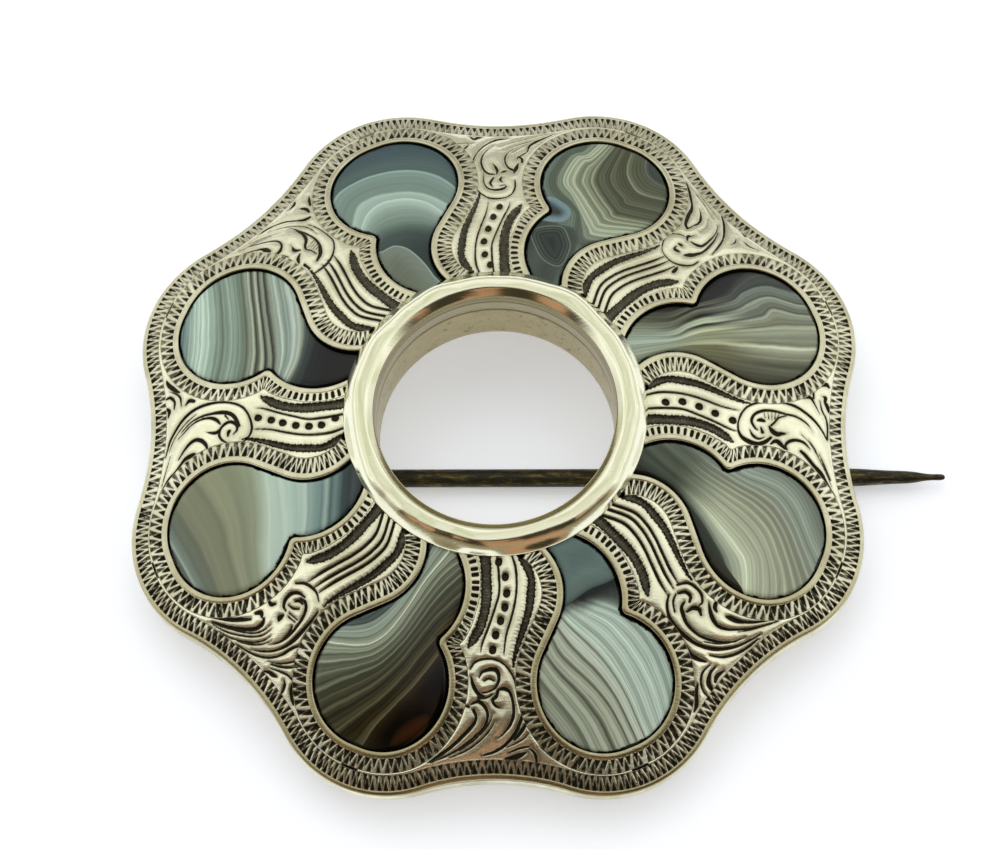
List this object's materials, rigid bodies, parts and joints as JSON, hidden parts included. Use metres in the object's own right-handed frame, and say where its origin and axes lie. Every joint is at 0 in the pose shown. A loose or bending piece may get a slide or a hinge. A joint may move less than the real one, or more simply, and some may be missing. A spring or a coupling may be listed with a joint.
{
  "type": "agate brooch",
  "caption": "Domed engraved silver brooch with shaped agates round an open polished ring, and a hinged pin across the back.",
  "frame": {"origin": "centre of the round bore where its straight wall begins, level with the foot of the dome", "axes": "+Z out of the domed front, +X along the pin towards its point"},
  "size_m": [0.0533, 0.0476, 0.0093],
  "materials": {
    "silver_engraved": "silver with a pale gold tone, engraved, dark patina in the cuts",
    "silver_polished": "polished, lightly worn",
    "silver_back": "plain silver sheet, satin, tarnished",
    "pin_metal": "dark tarnished wire",
    "agate_1": "polished agate, light grey wavy bands, olive below",
    "agate_2": "polished agate, dark green grey with fine light bands",
    "agate_3": "polished agate, slate blue with pale arcs",
    "agate_4": "polished agate, near-white fine bands, dark tail",
    "agate_5": "polished agate, wide soft grey-blue bands",
    "agate_6": "polished agate, olive brown with fine light bands",
    "agate_7": "polished agate, pale ice-blue diagonal bands",
    "agate_8": "polished agate, grey green with fine light lines"
  },
  "bodies": {
    "brooch": {"frame": "silver_engraved", "centre_ring": "silver_polished", "back_plate": "silver_back", "hinge_rivet": "silver_back", "agate_1": "agate_1", "agate_2": "agate_2", "agate_3": "agate_3", "agate_4": "agate_4", "agate_5": "agate_5", "agate_6": "agate_6", "agate_7": "agate_7", "agate_8": "agate_8"},
    "pin": {"pin": "pin_metal"}
  },
  "joints": [
    {"name": "pin_hinge", "type": "hinge", "parent": "brooch", "child": "pin", "pos_m": [-0.0186, -0.0019, -0.0024], "axis": [0, 1, 0], "range_deg": [0, 90]}
  ]
}
